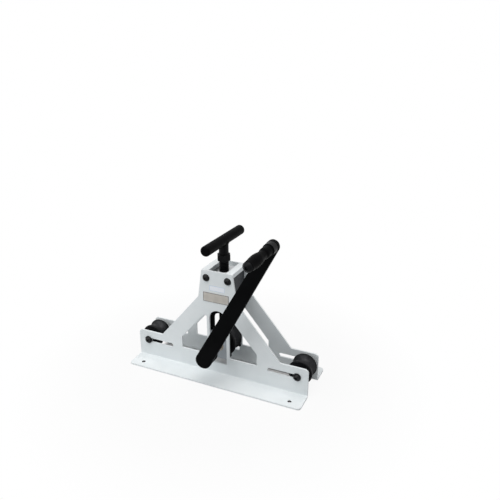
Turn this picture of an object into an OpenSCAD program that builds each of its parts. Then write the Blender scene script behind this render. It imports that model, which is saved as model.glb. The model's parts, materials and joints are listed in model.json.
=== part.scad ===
// Manual three-roll pipe bender for the bench, in millimetres.
// Two bent side plates carry a screw-fed, cranked centre roller and two lower rollers on
// axles that shift along slots. X runs along the tube, Z is up and the crank is on the -Y side.
// The origin is on the bench, midway between the four anchor holes.

/* [Side plates] */
// Length of each side plate
base_length = 560; // [530:5:620]
// Thickness of the side plates
plate_t = 5; // [4:0.5:8]
// Clear gap between the side plates
plate_gap = 83; // [80:1:92]
// Height of the low band that holds the axle slots
band_height = 90.6; // [86:0.2:98]
// Rounding where the band meets the slanted leg
leg_foot_r = 4; // [1:0.5:8]
// Rounding of the band's top corners
band_corner_r = 12; // [4:1:20]
// Distance from the plate's end to the foot of the slanted leg
leg_foot_margin = 85; // [75:1:95]
// Width of the slanted legs
leg_width = 48.5; // [42:0.5:54]
// Half width of the plate where the legs meet the tower
shoulder_half = 61.5; // [58:0.5:66]
// Height where the legs meet the tower
shoulder_z = 249; // [242:1:256]
// Rounding where the legs meet the tower
shoulder_r = 10; // [2:1:20]
// Half width of the tower's top
tower_half = 49; // [47:0.5:54]
// Height of the tower's top
tower_height = 334.5; // [328:0.5:345]
// Rounding of the tower's top corners
tower_corner_r = 5; // [2:0.5:10]
// Height of the windows' sill
window_sill_z = 63; // [50:1:70]
// Height where the windows' slanted edge starts
window_side_z = 100; // [90:1:112]
// Height of the windows' top
window_top_z = 191; // [170:1:194]
// Rounding of the windows' corners
window_r = 3; // [1:0.5:4]

/* [Foot] */
// How far the foot reaches out from the plate's outer face
foot_reach = 63.5; // [52:0.5:68]
// Rounding of the foot's outer corners
foot_corner_r = 12; // [4:1:20]
// Outside radius of the bend between plate and foot
bend_r = 10; // [8.5:0.5:14]
// Diameter of the anchor holes
anchor_d = 11; // [8:0.5:13]
// Distance of the anchor holes from the plate's ends
anchor_end_margin = 38; // [25:1:45]
// Distance of the anchor holes from the foot's long edge
anchor_edge_margin = 22; // [12:0.5:28]

/* [Tower] */
// Height of the spacer bars between the tower tops
bar_height = 13; // [10:0.5:16]
// Width of the spacer bars
bar_width = 21; // [16:0.5:24]
// Height of the block that holds the screw's nut
nut_block_height = 54; // [46:1:60]
// How far the nut block stays back from the tower's edge
nut_block_inset = 5; // [1:0.5:6]
// Diameter of the tower bolts
tower_bolt_d = 12; // [10:0.5:13]
// Distance of the tower bolts from the tower's edge
tower_bolt_margin = 15; // [13:0.5:17]
// Distance of the tower bolts from the tower's top
tower_bolt_drop = 23; // [21:0.5:27]
// Diameter of the dome heads of the tower bolts
tower_head_d = 22.5; // [19:0.5:25]
// Height of the dome heads of the tower bolts
tower_head_h = 8; // [5:0.5:9]

/* [Guide slot and carriage] */
// Width of the vertical guide slot
slot_width = 54; // [50:1:57]
// Width of the strip left between guide slot and window
strip_width = 9; // [7:0.5:11]
// Height of the drive shaft at rest
shaft_z = 99.5; // [97:0.5:104]
// How far the carriage can go down from rest
travel_down = 15; // [8:1:17]
// How far the carriage can go up from rest
travel_up = 44; // [30:1:46]
// Height of the bearing blocks
block_height = 83; // [78:1:88]
// Rounding of the bearing blocks' corners
block_corner_r = 2; // [1:0.5:4]
// How far the block's face stays back from the plate's face
block_inset = 1; // [0:0.5:2]
// How far the block's inner lip overlaps the slot's edge
lip_overlap = 6; // [4:0.5:8]
// Thickness of the block's inner lip
lip_t = 6; // [5:0.5:7]
// Thickness of the yoke's side plates
yoke_t = 6; // [5:0.5:7]
// How far the yoke's foot stays above the bearing block's foot
yoke_foot_gap = 4; // [2:0.5:6]
// Rounding of the yoke's corners
yoke_corner_r = 3; // [1:0.5:4]
// How far the yoke reaches past the slot's edge
yoke_overlap = 8; // [6:0.5:10]
// Width of each of the yoke's prongs
prong_width = 17; // [14:0.5:20]
// Thickness of the yoke's bridge
bridge_t = 11; // [8:0.5:14]
// Diameter of the countersunk yoke screws
yoke_screw_d = 6; // [5:0.5:7]

/* [Rollers] */
// Diameter of the tube that the grooves fit
tube_d = 38; // [34:1:40]
// Width of all three rollers
roller_width = 48; // [46:1:50]
// Rim radius of the centre roller
centre_rim_r = 45; // [43:0.5:46]
// Groove radius of the centre roller at its middle
centre_groove_r = 31; // [29:0.5:33]
// Rim radius of the lower rollers
lower_rim_r = 36.5; // [34:0.5:39]
// Groove radius of the lower rollers at its middle
lower_groove_r = 22.5; // [20:0.5:25]
// Chamfer on the rollers' rims
rim_chamfer = 2; // [0.5:0.5:3]

/* [Drive shaft] */
// Diameter of the drive shaft
shaft_d = 25; // [22:0.5:27]
// Wall of the shaft's bushes
bush_wall = 4.5; // [3:0.5:6]
// Width of the roller's key
key_width = 8; // [6:0.5:10]
// Height of the roller's key
key_height = 7; // [6:0.5:8]
// Diameter of the spacers beside the centre roller
shaft_spacer_d = 40; // [34:1:46]
// Thickness of the washer at the shaft's back end
rear_washer_t = 3; // [2:0.5:5]
// Thickness of the retaining ring at the shaft's back end
ring_t = 1.6; // [1.2:0.1:2.5]

/* [Crank] */
// Distance between the drive shaft and the grip
arm_length = 425; // [360:1:440]
// Lean of the arm from upright, towards the right
arm_lean = 28.5; // [0:0.1:60]
// Thickness of the arm
arm_t = 12; // [8:0.5:16]
// End radius of the arm at the hub
arm_hub_r = 23.6; // [21:0.2:26]
// End radius of the arm at the grip
arm_tip_r = 17; // [15:0.5:20]
// Diameter of the crank's hub
hub_d = 45; // [40:0.5:52]
// Length of the crank's hub
hub_length = 34; // [26:1:44]
// Gap between the front plate and the hub
crank_standoff = 46.5; // [36:0.5:55]
// Diameter of the hub's set screw
set_screw_d = 8; // [5:0.5:10]

/* [Grip] */
// Diameter of the grip's sleeve at its belly
grip_d = 31; // [27:0.5:34]
// Length of the grip's sleeve
grip_length = 115; // [90:1:130]
// Diameter of the straight shoulder at the sleeve's inner end
shoulder_d = 28; // [25:0.5:30]
// Length of the straight shoulder
shoulder_length = 25; // [10:1:30]
// Diameter of the sleeve's waist, next to the shoulder
waist_d = 24; // [21:0.5:26]
// Diameter of the sleeve's outer end
grip_end_d = 27; // [23:0.5:30]
// Diameter of the ferrule between arm and sleeve
ferrule_d = 32; // [28:0.5:34]
// Length of the ferrule
ferrule_length = 22; // [10:1:28]
// Diameter of the grip's bolt
grip_bolt_d = 12; // [8:0.5:12]
// Diameter of the bolt's dome head
grip_head_d = 25; // [20:0.5:26]
// Height of the bolt's dome head
grip_head_h = 8.5; // [5:0.5:8.5]

/* [Pressing screw] */
// Diameter of the screw
screw_d = 28; // [24:0.5:30]
// Diameter of the screw's neck in the yoke
neck_d = 16; // [12:0.5:18]
// Flange thickness of the screw's nut
nut_flange_t = 6; // [4:0.5:8]
// Wall of the screw's nut
nut_wall = 7; // [5:0.5:9]
// Diameter of the thrust washer
thrust_d = 36; // [28:0.5:42]
// Thickness of the thrust washer
thrust_t = 3; // [2:0.5:5]
// Height of the retaining collar under the bridge
collar_height = 12; // [9:0.5:14]
// Diameter of the retaining collar under the bridge
collar_d = 32; // [26:0.5:36]
// Diameter of the collar's pin
collar_pin_d = 5; // [3:0.5:6]
// Width across the flats of the stop nut
stop_nut_flats = 36; // [32:0.5:42]
// Height of the stop nut
stop_nut_height = 20; // [14:1:24]
// Height of the handle bar above the stop nut
handle_rise = 41; // [30:1:60]
// Diameter of the handle bar
handle_d = 29.5; // [27:0.5:33]
// Length of the handle bar
handle_length = 212; // [160:2:260]
// Rounding of the handle bar's ends
handle_end_r = 7; // [2:0.5:11]
// Turn of the handle bar from square to the plates
handle_turn = 1.6; // [0:0.1:90]

/* [Lower axles] */
// Height of the lower axles
axle_z = 60.5; // [59:0.5:64]
// Diameter of the lower axles
axle_d = 12; // [10:0.5:14]
// How far each lower axle can shift inwards
axle_shift = 83; // [60:1:86]
// Distance from the plate's end to the axle at rest
axle_end_margin = 33; // [28:0.5:36]
// Diameter of the spacers beside the lower rollers
axle_spacer_d = 22; // [19:0.5:28]
// Wall of the lower rollers' bushes
roller_bush_wall = 3; // [2:0.5:4]
// Diameter of the axle washers
axle_washer_d = 24; // [21:0.5:30]
// Thickness of the axle washers
axle_washer_t = 2.5; // [1.5:0.5:4]
// Diameter of the axle bolts' dome heads
axle_head_d = 20; // [18:0.5:23]
// Height of the axle bolts' dome heads
axle_head_h = 8; // [5:0.5:8.5]

/* [Clearances] */
// Gap between faces that slide past each other
slide_gap = 0.3; // [0.25:0.05:0.5]
// Radial gap of a turning fit
turn_gap = 0.05; // [0.02:0.01:0.09]
// Gap of a seat that doesn't move
seat_gap = 0.02; // [0.01:0.01:0.05]
// Radial gap of a bolt in its hole
bolt_gap = 0.3; // [0.1:0.05:0.5]

/* [Hidden] */
$fn = 64;

// Colours of the finishes
white_paint = "#e4e6e6";
black_paint = "#1b1c1e";
grey_iron = "#7d8387";
dark_steel = "#3a3d41";
bright_steel = "#a9adb1";
bronze = "#a98349";

// Cuts run this far past the faces that they open
past = 1;
// Sides given to a rounded corner of an outline, a dome, the arm's ends and the sleeve's curve
corner_steps = 6;
dome_steps = 8;
arm_end_steps = 16;
sleeve_steps = 20;

// Plate faces, measured from the middle plane
plate_in = plate_gap / 2;
plate_out = plate_in + plate_t;
base_half = base_length / 2;
foot_edge = plate_out + foot_reach;

// Slanted legs: both edges run along the same slope
leg_foot_half = base_half - leg_foot_margin;
leg_slope = (leg_foot_half - shoulder_half) / (shoulder_z - band_height);
leg_level_width = leg_width * sqrt(1 + leg_slope * leg_slope);
function leg_inner(z) = leg_foot_half - leg_slope * (z - band_height) - leg_level_width;

// Guide slot: its ends leave room for the carriage's travel
slot_end_gap = 3;
slot_half = slot_width / 2;
post_half = slot_half + strip_width;
block_bottom = shaft_z - block_height / 2;
block_top = shaft_z + block_height / 2;
slot_bottom = block_bottom - travel_down - slot_end_gap;
slot_shoulder = block_top + travel_up + slide_gap;

// Anchor holes
anchor_x = base_half - anchor_end_margin;
anchor_y = foot_edge - anchor_edge_margin;

// Tower: spacer bars on top, the bolted nut block under them and the nut's flange below
bar_bottom = tower_height - bar_height;
nut_block_bottom = bar_bottom - nut_block_height;
nut_bottom = nut_block_bottom - nut_flange_t;
nut_outer_r = screw_d / 2 + nut_wall;
tower_bolt_x = tower_half - tower_bolt_margin;
tower_bolt_z = tower_height - tower_bolt_drop;
tower_washer_t = 2.5;
tower_nut_in = plate_out + tower_washer_t;
tower_nut_h = 10;
// How far a bolt stands out of its nut, and the chamfer on its end
bolt_end = 3;
bolt_chamfer = 1;
// Width over the flats of the nut on a bolt
function nut_flats(d) = 1.5 * d + 1;

// Carriage, from the plate's inner face towards the middle
lip_out = plate_in - slide_gap;
yoke_out = lip_out - lip_t;
yoke_in = yoke_out - yoke_t;
yoke_half = slot_half + yoke_overlap;
yoke_bottom = block_bottom + yoke_foot_gap;
lift_gap = 3;
bridge_top = nut_bottom - lift_gap - travel_up - thrust_t;
bridge_bottom = bridge_top - bridge_t;
bush_r = shaft_d / 2 + bush_wall;
yoke_screw_inset = 7;
yoke_screw_length = 16;

// Screw
stop_gap = 4.5;
screw_shoulder = bridge_top + thrust_t + slide_gap;
collar_top = bridge_bottom - slide_gap;
stop_nut_bottom = tower_height + travel_down + stop_gap;
handle_z = stop_nut_bottom + stop_nut_height + handle_rise;
spigot_step = 2;
spigot_d = screw_d - 2 * spigot_step;

// Drive shaft and crank, towards the front
roller_half = roller_width / 2;
block_out = plate_out - block_inset;
hub_back = plate_out + crank_standoff;
hub_front = hub_back + hub_length;
arm_front = hub_front + arm_t;
square_corner_gap = 0.5;
square_side = (shaft_d - 2 * square_corner_gap) / sqrt(2);
rear_washer_in = block_out + slide_gap;
ring_in = rear_washer_in + rear_washer_t;
shaft_end = 3;
shaft_rear = ring_in + ring_t + shaft_end;
ring_depth = 1.5;
ring_lip = 3;
ring_opening = 8;
washer_lip = 3;
key_end_gap = 5;
key_length = roller_width - 2 * key_end_gap;
key_bottom = shaft_d / 2 - key_height / 2;

set_screw_sink = 2;

// Grip
ferrule_front = arm_front + ferrule_length;
grip_start = ferrule_front + slide_gap;
grip_end = grip_start + grip_length;
grip_head_back = grip_end + slide_gap;
grip_nut_h = 9;
// Where the waist and the belly lie, as shares of the curve past the shoulder
waist_at = 0.12;
belly_at = 0.53;

// Lower axles
axle_x = base_half - axle_end_margin;
axle_slot_r = axle_d / 2 + slide_gap;
axle_washer_in = plate_out + slide_gap;
axle_washer_out = axle_washer_in + axle_washer_t;
axle_nut_h = 10;
axle_spacer_out = plate_in - slide_gap;
roller_bush_r = axle_d / 2 + turn_gap + roller_bush_wall;

// One rounded corner of an outline, as points on the arc that touches both edges
function unit(v) = v / norm(v);
function corner(a, b, c, r) =
    r == 0 ? [b] :
    let (
        u = unit(a - b),
        v = unit(c - b),
        half = acos(u * v) / 2,
        centre = b + unit(u + v) * r / sin(half),
        start = b + u * r / tan(half) - centre,
        end = b + v * r / tan(half) - centre,
        first = atan2(start.y, start.x),
        sweep = atan2(cross(start, end), start * end)
    )
    [for (i = [0:corner_steps])
        centre + r * [cos(first + sweep * i / corner_steps), sin(first + sweep * i / corner_steps)]];
// A closed outline from corner points, each given as [point, radius]
function rounded(corners) =
    let (n = len(corners))
    [for (i = [0:n - 1])
        each corner(corners[(i + n - 1) % n][0], corners[i][0], corners[(i + 1) % n][0], corners[i][1])];
// The same corners on the left of the middle, in the order that closes the outline
function mirrored(corners) =
    [for (i = [len(corners) - 1:-1:0]) [[-corners[i][0].x, corners[i][0].y], corners[i][1]]];

// A flat outline in X and Z, with its back at y and its thickness towards the front
module plate_xz(y, t) {
    translate([0, y, 0]) rotate([90, 0, 0]) linear_extrude(t) children();
}
// A round bar along Y
module bar_y(r, from, to) {
    translate([0, from, 0]) rotate([-90, 0, 0]) cylinder(r = r, h = to - from);
}
// A ring along Y
module ring_y(outer_r, inner_r, from, to) {
    difference() {
        bar_y(outer_r, from, to);
        bar_y(inner_r, from - past, to + past);
    }
}
// A round bar along Z
module bar_z(r, from, to) {
    translate([0, 0, from]) cylinder(r = r, h = to - from);
}
// A ring along Z
module ring_z(outer_r, inner_r, from, to) {
    difference() {
        bar_z(outer_r, from, to);
        bar_z(inner_r, from - past, to + past);
    }
}
// A hexagon nut along Y
module hex_y(flats, bore_r, from, to) {
    difference() {
        translate([0, from, 0]) rotate([-90, 0, 0]) cylinder(d = flats / cos(30), h = to - from, $fn = 6);
        bar_y(bore_r, from - past, to + past);
    }
}
// A dome-headed bolt along Y: the head's seat is at -seat and the shank runs back to end
module dome_bolt(d, head_d, head_h, seat, end) {
    dome_r = (head_d * head_d / 4 + head_h * head_h) / (2 * head_h);
    spread = asin(head_d / 2 / dome_r);
    top = -seat - head_h;
    rotate([-90, 0, 0]) rotate_extrude() polygon(concat(
        [for (i = [0:dome_steps])
            let (a = spread * i / dome_steps) [dome_r * sin(a), top + dome_r * (1 - cos(a))]],
        [[d / 2, -seat], [d / 2, end - bolt_chamfer], [d / 2 - bolt_chamfer, end], [0, end]]
    ));
}
// Places its children at both sides of the middle
module both_sides(x) {
    for (side = [-1, 1]) translate([side * x, 0, 0]) children();
}

// Outline of a side plate, without its openings
module plate_outline() {
    right = [
        [[base_half, 0], 0],
        [[base_half, band_height], band_corner_r],
        [[leg_foot_half, band_height], leg_foot_r],
        [[shoulder_half, shoulder_z], shoulder_r],
        [[tower_half, tower_height], tower_corner_r]
    ];
    polygon(rounded(concat(right, mirrored(right))));
}
// Outline of the right window
module window_outline() {
    polygon(rounded([
        [[post_half, window_sill_z], window_r],
        [[leg_inner(window_side_z), window_sill_z], window_r],
        [[leg_inner(window_side_z), window_side_z], window_r],
        [[leg_inner(window_top_z), window_top_z], window_r],
        [[post_half, window_top_z], window_r]
    ]));
}
// A bent side plate on the -Y side, with its foot towards the front
module side_plate() {
    color(white_paint)
    difference() {
        union() {
            plate_xz(-plate_in, plate_t) plate_outline();
            foot();
            inside_bend();
        }
        outside_bend();
        for (side = [0, 1]) mirror([side, 0, 0]) {
            plate_xz(-plate_in + past, plate_t + 2 * past) window_outline();
            axle_slot();
            translate([tower_bolt_x, 0, tower_bolt_z])
                bar_y(tower_bolt_d / 2 + bolt_gap, -plate_out - past, -plate_in + past);
            translate([anchor_x, -anchor_y, 0]) bar_z(anchor_d / 2, -past, plate_t + past);
        }
        translate([-slot_half, -plate_out - past, slot_bottom])
            cube([slot_width, plate_t + 2 * past, slot_shoulder - slot_bottom]);
        translate([0, 0, slot_shoulder]) bar_y(slot_half, -plate_out - past, -plate_in + past);
    }
}
// The foot, bent out from the plate's lower edge
module foot() {
    linear_extrude(plate_t) polygon(rounded([
        [[-base_half, -plate_in], 0],
        [[-base_half, -foot_edge], foot_corner_r],
        [[base_half, -foot_edge], foot_corner_r],
        [[base_half, -plate_in], 0]
    ]));
}
// A strip along the plate with the section of a square corner outside a circle
module corner_strip(r, length) {
    rotate([90, 0, 90]) linear_extrude(length, center = true) difference() {
        square(r);
        translate([r, r]) circle(r);
    }
}
// The fillet between plate and foot
module inside_bend() {
    inside_r = bend_r - plate_t;
    translate([0, -plate_out, plate_t]) mirror([0, 1, 0]) corner_strip(inside_r, base_length);
}
// What the bend rounds off under the plate
module outside_bend() {
    translate([0, -plate_in, 0]) mirror([0, 1, 0]) corner_strip(bend_r, base_length + 2 * past);
}
// The slot that the right lower axle shifts along
module axle_slot() {
    inner_x = axle_x - axle_shift - slide_gap;
    outer_x = axle_x + slide_gap;
    translate([0, 0, axle_z]) {
        for (x = [inner_x, outer_x])
            translate([x, 0, 0]) bar_y(axle_slot_r, -plate_out - past, -plate_in + past);
        translate([inner_x, -plate_out - past, -axle_slot_r])
            cube([outer_x - inner_x, plate_t + 2 * past, 2 * axle_slot_r]);
    }
}
module front_side_plate() { side_plate(); }
module rear_side_plate() { mirror([0, 1, 0]) side_plate(); }

// A white bar between the tower tops, on the right side
module spacer_bar() {
    color(white_paint)
    translate([tower_half - bar_width, -plate_in, bar_bottom])
        cube([bar_width, plate_gap, bar_height]);
}
module left_spacer_bar() { mirror([1, 0, 0]) spacer_bar(); }
module right_spacer_bar() { spacer_bar(); }

// The steel block that holds the screw's nut
module nut_block() {
    half = tower_half - nut_block_inset;
    color(dark_steel)
    difference() {
        translate([-half, -plate_in, nut_block_bottom]) cube([2 * half, plate_gap, nut_block_height]);
        bar_z(nut_outer_r + seat_gap, nut_block_bottom - past, bar_bottom + past);
        both_sides(tower_bolt_x) translate([0, 0, tower_bolt_z])
            bar_y(tower_bolt_d / 2 + bolt_gap, -plate_in - past, plate_in + past);
    }
}
// The flanged nut, pushed up against the block by the screw's force
module screw_nut() {
    color(bronze)
    difference() {
        union() {
            bar_z(nut_outer_r, nut_block_bottom - past, bar_bottom);
            bar_z(nut_outer_r + nut_wall, nut_bottom, nut_block_bottom);
        }
        bar_z(screw_d / 2 + turn_gap, nut_bottom - past, bar_bottom + past);
    }
}
// Two dome-headed bolts through plates and nut block
module tower_bolts() {
    color(black_paint)
    both_sides(tower_bolt_x) translate([0, 0, tower_bolt_z])
        dome_bolt(tower_bolt_d, tower_head_d, tower_head_h,
            plate_out, tower_nut_in + tower_nut_h + bolt_end);
}
// Washers and nuts on the tower bolts' back ends
module tower_nuts() {
    color(black_paint)
    both_sides(tower_bolt_x) translate([0, 0, tower_bolt_z]) {
        ring_y(tower_bolt_d, tower_bolt_d / 2 + seat_gap, plate_out, tower_nut_in - seat_gap);
        hex_y(nut_flats(tower_bolt_d), tower_bolt_d / 2 + seat_gap,
            tower_nut_in, tower_nut_in + tower_nut_h);
    }
}

// One of the yoke's inverted-U plates, on the -Y side
module yoke_plate() {
    opening_half = yoke_half - prong_width;
    arch_z = bridge_bottom - opening_half;
    difference() {
        plate_xz(-yoke_in, yoke_t) polygon(rounded([
            [[-yoke_half, yoke_bottom], yoke_corner_r],
            [[yoke_half, yoke_bottom], yoke_corner_r],
            [[yoke_half, bridge_top], yoke_corner_r],
            [[-yoke_half, bridge_top], yoke_corner_r]
        ]));
        translate([-opening_half, -yoke_out - past, block_top])
            cube([2 * opening_half, yoke_t + 2 * past, arch_z - block_top]);
        translate([0, 0, arch_z]) bar_y(opening_half, -yoke_out - past, -yoke_in + past);
        translate([0, 0, shaft_z]) bar_y(bush_r + seat_gap, -yoke_out - past, -yoke_in + past);
        yoke_screw_places() translate([0, -yoke_in, 0]) countersunk_hole();
    }
}
// Four places for screws on each side of the yoke
module yoke_screw_places() {
    x = slot_half - yoke_screw_inset;
    screw_row = block_height / 2 - yoke_foot_gap - yoke_screw_inset;
    for (sx = [-1, 1]) for (sz = [-1, 1])
        translate([sx * x, 0, shaft_z + sz * screw_row]) children();
}
// A countersunk screw along -Y, flush with the face at y = 0
module countersunk_screw(extra) {
    head_r = yoke_screw_d;
    head_h = yoke_screw_d / 2;
    bar_y(yoke_screw_d / 2 + extra, -yoke_screw_length - extra, -head_h / 2);
    translate([0, -head_h, 0]) rotate([-90, 0, 0])
        cylinder(r1 = yoke_screw_d / 2 + extra, r2 = head_r + extra, h = head_h);
}
module countersunk_hole() {
    countersunk_screw(seat_gap);
    bar_y(yoke_screw_d + seat_gap, -seat_gap, past);
}
// The yoke: both inverted-U plates and the bridge that the screw presses on
module yoke() {
    bridge_half = yoke_half - yoke_corner_r;
    color(black_paint)
    difference() {
        union() {
            for (side = [0, 1]) mirror([0, side, 0]) yoke_plate();
            translate([-bridge_half, -yoke_in, bridge_bottom])
                cube([2 * bridge_half, 2 * yoke_in, bridge_t]);
        }
        bar_z(neck_d / 2 + turn_gap, bridge_bottom - past, bridge_top + past);
    }
}
// A bearing block on the -Y side: it slides in the slot and its lip runs behind the plate
module bearing_block() {
    half = slot_half - slide_gap;
    lip_half = slot_half + lip_overlap;
    color(grey_iron)
    difference() {
        union() {
            plate_xz(-lip_out, block_out - lip_out) block_outline(half);
            plate_xz(-yoke_out, lip_t) block_outline(lip_half);
        }
        translate([0, 0, shaft_z]) bar_y(bush_r + seat_gap, -block_out - past, -yoke_out + past);
        yoke_screw_places() translate([0, -yoke_in, 0]) countersunk_screw(seat_gap);
    }
}
module block_outline(half) {
    polygon(rounded([
        [[-half, block_bottom], block_corner_r],
        [[half, block_bottom], block_corner_r],
        [[half, block_top], block_corner_r],
        [[-half, block_top], block_corner_r]
    ]));
}
module front_bearing_block() { bearing_block(); }
module rear_bearing_block() { mirror([0, 1, 0]) bearing_block(); }

// A bush through block and yoke, on the -Y side
module shaft_bush() {
    color(bronze)
    translate([0, 0, shaft_z]) ring_y(bush_r, shaft_d / 2 + turn_gap, -block_out, -yoke_in);
}
module front_bush() { shaft_bush(); }
module rear_bush() { mirror([0, 1, 0]) shaft_bush(); }

// The countersunk screws of both sides
module yoke_screws() {
    color(bright_steel)
    for (side = [0, 1]) mirror([0, side, 0])
        yoke_screw_places() translate([0, -yoke_in, 0]) countersunk_screw(0);
}
module thrust_washer() {
    color(bronze) ring_z(thrust_d / 2, neck_d / 2 + turn_gap, bridge_top, bridge_top + thrust_t);
}

// The pressing screw, its neck through the yoke's bridge and its spigot in the handle bar
module lead_screw() {
    color(black_paint)
    difference() {
        union() {
            bar_z(neck_d / 2, collar_top - collar_height, screw_shoulder + past);
            bar_z(screw_d / 2, screw_shoulder, handle_z - handle_d / 2);
            bar_z(spigot_d / 2, handle_z - handle_d / 2 - past, handle_z);
        }
        collar_pin_hole();
    }
}
module collar_pin_hole() {
    translate([0, 0, collar_top - collar_height / 2])
        bar_y(collar_pin_d / 2 + seat_gap, -collar_d, collar_d);
}
// The handle bar, with a blind hole for the screw's spigot
module t_handle_bar() {
    color(black_paint)
    difference() {
        translate([0, 0, handle_z]) rotate([0, 0, -handle_turn])
            rounded_bar(handle_d / 2, -handle_length / 2, handle_length / 2, handle_end_r);
        bar_z(spigot_d / 2 + seat_gap, handle_z - handle_d, handle_z + seat_gap);
        bar_z(screw_d / 2 + seat_gap, handle_z - handle_d, handle_z - handle_d / 2 + seat_gap);
    }
}
// A round bar along Y with rounded ends
module rounded_bar(r, from, to, end_r) {
    rotate([-90, 0, 0]) rotate_extrude() polygon(rounded([
        [[0, from], 0],
        [[r, from], end_r],
        [[r, to], end_r],
        [[0, to], 0]
    ]));
}
module screw_stop_nut() {
    color(black_paint)
    difference() {
        translate([0, 0, stop_nut_bottom])
            cylinder(d = stop_nut_flats / cos(30), h = stop_nut_height, $fn = 6);
        bar_z(screw_d / 2 + seat_gap, stop_nut_bottom - past, stop_nut_bottom + stop_nut_height + past);
    }
}
module retaining_collar() {
    color(black_paint)
    difference() {
        ring_z(collar_d / 2, neck_d / 2 + seat_gap, collar_top - collar_height, collar_top);
        collar_pin_hole();
    }
}
module collar_pin() {
    color(bright_steel)
    translate([0, 0, collar_top - collar_height / 2])
        bar_y(collar_pin_d / 2, -collar_d / 2, collar_d / 2);
}

// A grooved roller about Y, with its groove cut to the tube
module grooved_roller(rim_r, groove_r, bore_r) {
    rotate([-90, 0, 0]) rotate_extrude() difference() {
        polygon([
            [bore_r, -roller_half],
            [rim_r - rim_chamfer, -roller_half],
            [rim_r, -roller_half + rim_chamfer],
            [rim_r, roller_half - rim_chamfer],
            [rim_r - rim_chamfer, roller_half],
            [bore_r, roller_half]
        ]);
        translate([groove_r + tube_d / 2, 0]) circle(d = tube_d);
    }
}
// Places its children in the frame of the crank, with the arm along Z
module on_crank() {
    translate([0, 0, shaft_z]) rotate([0, arm_lean, 0]) children();
}
module drive_shaft() {
    color(bright_steel)
    on_crank() difference() {
        union() {
            bar_y(shaft_d / 2, -hub_back, shaft_rear);
            translate([-square_side / 2, -hub_front, -square_side / 2])
                cube([square_side, hub_length + past, square_side]);
        }
        translate([-key_width / 2 - seat_gap, -key_length / 2 - seat_gap, key_bottom - seat_gap])
            cube([key_width + 2 * seat_gap, key_length + 2 * seat_gap, key_height]);
        ring_y(shaft_d, shaft_d / 2 - ring_depth, ring_in, ring_in + ring_t);
    }
}
module centre_roller() {
    color(black_paint)
    on_crank() difference() {
        grooved_roller(centre_rim_r, centre_groove_r, shaft_d / 2 + seat_gap);
        translate([-key_width / 2 - seat_gap, -roller_half - past, 0])
            cube([key_width + 2 * seat_gap, roller_width + 2 * past, key_bottom + key_height + seat_gap]);
    }
}
module roller_key() {
    color(bright_steel)
    on_crank() translate([-key_width / 2, -key_length / 2, key_bottom])
        cube([key_width, key_length, key_height]);
}
// A spacer between the centre roller and the yoke, on the -Y side
module shaft_spacer() {
    color(bright_steel)
    on_crank() ring_y(shaft_spacer_d / 2, shaft_d / 2 + seat_gap, -yoke_in + slide_gap, -roller_half);
}
module front_shaft_spacer() { shaft_spacer(); }
module rear_shaft_spacer() { mirror([0, 1, 0]) shaft_spacer(); }
module rear_shaft_washer() {
    color(bright_steel)
    on_crank() ring_y(bush_r + washer_lip, shaft_d / 2 + seat_gap, rear_washer_in, ring_in);
}
// A split ring in the shaft's groove
module rear_retaining_ring() {
    color(dark_steel)
    on_crank() difference() {
        ring_y(shaft_d / 2 + ring_lip, shaft_d / 2 - ring_depth + seat_gap,
            ring_in + seat_gap, ring_in + ring_t - seat_gap);
        translate([-ring_opening / 2, ring_in - past, 0])
            cube([ring_opening, ring_t + 2 * past, shaft_d]);
    }
}
// The crank's hub, with a square socket for the shaft
module crank_hub() {
    socket = square_side + 2 * seat_gap;
    color(black_paint)
    on_crank() difference() {
        bar_y(hub_d / 2, -hub_front, -hub_back);
        translate([-socket / 2, -hub_front - past, -socket / 2])
            cube([socket, hub_length + 2 * past, socket]);
        set_screw_place() cylinder(d = set_screw_d + 2 * seat_gap, h = hub_d);
    }
}
module set_screw_place() {
    translate([square_side / 2 + seat_gap, -hub_back - hub_length / 2, 0]) rotate([0, 90, 0]) children();
}
module hub_set_screw() {
    color(dark_steel)
    on_crank() set_screw_place() cylinder(d = set_screw_d, h = (hub_d - square_side) / 2 - set_screw_sink);
}
// The tapered flat arm, with round ends that its straight edges touch
module arm_outline() {
    touch = asin((arm_hub_r - arm_tip_r) / arm_length);
    polygon(concat(
        [for (i = [0:arm_end_steps])
            let (a = 180 - touch + (180 + 2 * touch) * i / arm_end_steps) arm_hub_r * [cos(a), sin(a)]],
        [for (i = [0:arm_end_steps])
            let (a = touch + (180 - 2 * touch) * i / arm_end_steps)
            [0, arm_length] + arm_tip_r * [cos(a), sin(a)]]
    ));
}
module crank_arm() {
    color(black_paint)
    on_crank() difference() {
        plate_xz(-hub_front, arm_t) arm_outline();
        translate([0, 0, arm_length])
            bar_y(grip_bolt_d / 2 + seat_gap, -arm_front - past, -hub_front + past);
    }
}
// The bolt that the grip turns on, with its dome head at the outer end
module grip_bolt() {
    color(dark_steel)
    on_crank() translate([0, 0, arm_length])
        dome_bolt(grip_bolt_d, grip_head_d, grip_head_h,
            grip_head_back, -hub_front + grip_nut_h + bolt_end);
}
// The ferrule that the sleeve runs against
module grip_ferrule() {
    color(black_paint)
    on_crank() translate([0, 0, arm_length])
        ring_y(ferrule_d / 2, grip_bolt_d / 2 + seat_gap, -ferrule_front, -arm_front);
}
module grip_nut() {
    color(black_paint)
    on_crank() translate([0, 0, arm_length])
        hex_y(nut_flats(grip_bolt_d), grip_bolt_d / 2 + seat_gap, -hub_front, -hub_front + grip_nut_h);
}
// A smooth step from a to b while t goes from 0 to 1
function smooth(a, b, t) = a + (b - a) * (1 - cos(180 * t)) / 2;
// The sleeve's diameter along its curve: from the shoulder in to the waist, out to the belly and in again
function sleeve_d(t) =
    t < waist_at ? smooth(shoulder_d, waist_d, t / waist_at) :
    t < belly_at ? smooth(waist_d, grip_d, (t - waist_at) / (belly_at - waist_at)) :
    smooth(grip_d, grip_end_d, (t - belly_at) / (1 - belly_at));
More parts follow.
